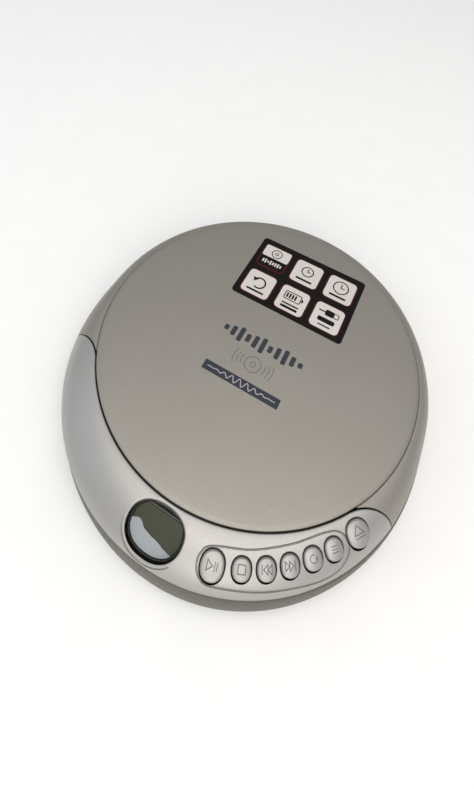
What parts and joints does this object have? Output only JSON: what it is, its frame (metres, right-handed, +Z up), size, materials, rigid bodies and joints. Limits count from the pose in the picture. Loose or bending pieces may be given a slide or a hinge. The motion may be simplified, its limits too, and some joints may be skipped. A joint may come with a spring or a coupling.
{
  "type": "portable cd player",
  "caption": "Round personal disc player: hinged lid, disc well with drive, silver control band with display and oval keys, dark base with battery door.",
  "frame": {"origin": "middle of the casing's footprint, on the surface that the four feet stand on", "axes": "+Z up, -Y towards the user and the keys, +X to the user's right, lid hinge along X at the back"},
  "size_m": [0.1408, 0.1514, 0.027],
  "materials": {
    "lid_plastic": "fine-textured silver paint on moulded plastic",
    "fascia_plastic": "satin silver paint on moulded plastic",
    "key_plastic": "satin silver keys with engraved symbols",
    "base_plastic": "olive-grey spark-eroded texture",
    "dark_plastic": "fine matt black",
    "grey_plastic": "fine matt grey",
    "white_plastic": "natural acetal",
    "clear_plastic": "clear polished acrylic",
    "display_glass": "olive reflective liquid-crystal cell",
    "circuit_board": "green solder mask with soldered parts",
    "steel": "bright zinc-plated steel",
    "rubber": "soft black rubber",
    "lens_glass": "coated glass",
    "flex_film": "amber polyimide flexible circuit",
    "label_film": null
  },
  "bodies": {
    "root": {"base_shell": "base_plastic", "battery_box": "dark_plastic", "battery_contact_positive": "steel", "battery_contact_negative": "steel", "battery_contact_bridge": "steel", "disc_deck": "grey_plastic", "front_fascia": "fascia_plastic", "key_board": "circuit_board", "display_window": "clear_plastic", "display_frame": "dark_plastic", "display_module": "display_glass", "main_circuit_board": "circuit_board", "headphone_jack": "dark_plastic", "power_socket": "steel", "lid_switch": "dark_plastic", "mechanism_chassis": "steel", "spindle_motor": "steel", "guide_rail_front": "steel", "guide_rail_rear": "steel", "sled_motor": "steel", "damper_1": "rubber", "damper_2": "rubber", "damper_3": "rubber", "damper_screw_1": "steel", "damper_screw_2": "steel", "damper_screw_3": "steel", "ribbon_cable": "flex_film", "latch_spring": "steel", "hinge_pin": "steel", "lid_spring": "steel", "foot_1": "rubber", "foot_2": "rubber", "foot_3": "rubber", "foot_4": "rubber", "case_screw_1": "steel", "case_screw_2": "steel", "case_screw_3": "steel", "case_screw_4": "steel"},
    "lid": {"lid_cover": "lid_plastic", "lid_liner": "grey_plastic", "lid_hook": "grey_plastic", "lid_label": "label_film"},
    "play_key": {"play_button": "key_plastic"},
    "stop_key": {"stop_button": "key_plastic"},
    "skip_back_key": {"skip_back_button": "key_plastic"},
    "skip_forward_key": {"skip_forward_button": "key_plastic"},
    "program_key": {"program_button": "key_plastic"},
    "mode_key": {"mode_button": "key_plastic"},
    "open_key": {"open_button": "key_plastic"},
    "latch": {"latch_slider": "grey_plastic"},
    "disc_table": {"turntable": "dark_plastic"},
    "pickup": {"pickup_sled": "dark_plastic"},
    "lens": {"objective_lens": "lens_glass"},
    "feed": {"feed_gear": "white_plastic"},
    "pinion": {"drive_pinion": "white_plastic"},
    "volume": {"volume_wheel": "dark_plastic"},
    "hold": {"hold_switch": "dark_plastic"},
    "door": {"battery_door": "base_plastic"}
  },
  "joints": [
    {"name": "lid_hinge", "type": "hinge", "parent": "root", "child": "lid", "pos_m": [0, 0.07351, 0.0163], "axis": [-1, 0, 0], "range_deg": [0, 85]},
    {"name": "play_press", "type": "slide", "parent": "root", "child": "play_key", "axis": [-0.0642, 0.2332, -0.9703], "range_m": [0, 0.0008], "stiffness_N_per_m": 400},
    {"name": "stop_press", "type": "slide", "parent": "root", "child": "stop_key", "axis": [-0.0918, 0.2238, -0.9703], "range_m": [0, 0.0008], "stiffness_N_per_m": 400},
    {"name": "skip_back_press", "type": "slide", "parent": "root", "child": "skip_back_key", "axis": [-0.1143, 0.2132, -0.9703], "range_m": [0, 0.0008], "stiffness_N_per_m": 400},
    {"name": "skip_forward_press", "type": "slide", "parent": "root", "child": "skip_forward_key", "axis": [-0.1353, 0.2006, -0.9703], "range_m": [0, 0.0008], "stiffness_N_per_m": 400},
    {"name": "program_press", "type": "slide", "parent": "root", "child": "program_key", "axis": [-0.1552, 0.1856, -0.9703], "range_m": [0, 0.0008], "stiffness_N_per_m": 400},
    {"name": "mode_press", "type": "slide", "parent": "root", "child": "mode_key", "axis": [-0.1734, 0.1687, -0.9703], "range_m": [0, 0.0008], "stiffness_N_per_m": 400},
    {"name": "open_press", "type": "slide", "parent": "root", "child": "open_key", "axis": [-0.1942, 0.1442, -0.9703], "range_m": [0, 0.0015], "stiffness_N_per_m": 400},
    {"name": "latch_slide", "type": "slide", "parent": "root", "child": "latch", "axis": [0.809, -0.5878, 0], "range_m": [0, 0.0015]},
    {"name": "turntable_spin", "type": "hinge", "parent": "root", "child": "disc_table", "pos_m": [0, 0.00531, 0.019], "axis": [0, 0, 1], "continuous": true},
    {"name": "pickup_slide", "type": "slide", "parent": "root", "child": "pickup", "axis": [-1, 0, 0], "range_m": [0, 0.031]},
    {"name": "lens_focus", "type": "slide", "parent": "pickup", "child": "lens", "axis": [0, 0, 1], "range_m": [-0.0004, 0.0004], "stiffness_N_per_m": 60},
    {"name": "feed_gear_spin", "type": "hinge", "parent": "root", "child": "feed", "pos_m": [-0.03, -0.01389, 0.009], "axis": [0, 0, 1], "range_deg": [0, 540]},
    {"name": "drive_pinion_spin", "type": "hinge", "parent": "root", "child": "pinion", "pos_m": [-0.0213, -0.01869, 0.008], "axis": [0, 0, 1], "range_deg": [-2700, 0]},
    {"name": "volume_turn", "type": "hinge", "parent": "root", "child": "volume", "pos_m": [-0.04342, 0.04872, 0.009], "axis": [0, 0, 1], "range_deg": [0, 270]},
    {"name": "hold_slide", "type": "slide", "parent": "root", "child": "hold", "axis": [-0.309, -0.9511, 0], "range_m": [0, 0.003]},
    {"name": "door_slide", "type": "slide", "parent": "root", "child": "door", "axis": [0, 1, 0], "range_m": [0, 0.036]}
  ],
  "couplings": [
    {"joint": "latch_slide", "follows": "open_press", "ratio": 1},
    {"joint": "feed_gear_spin", "follows": "pickup_slide", "rad_per_m": 303.03},
    {"joint": "drive_pinion_spin", "follows": "pickup_slide", "rad_per_m": -1515.2}
  ]
}
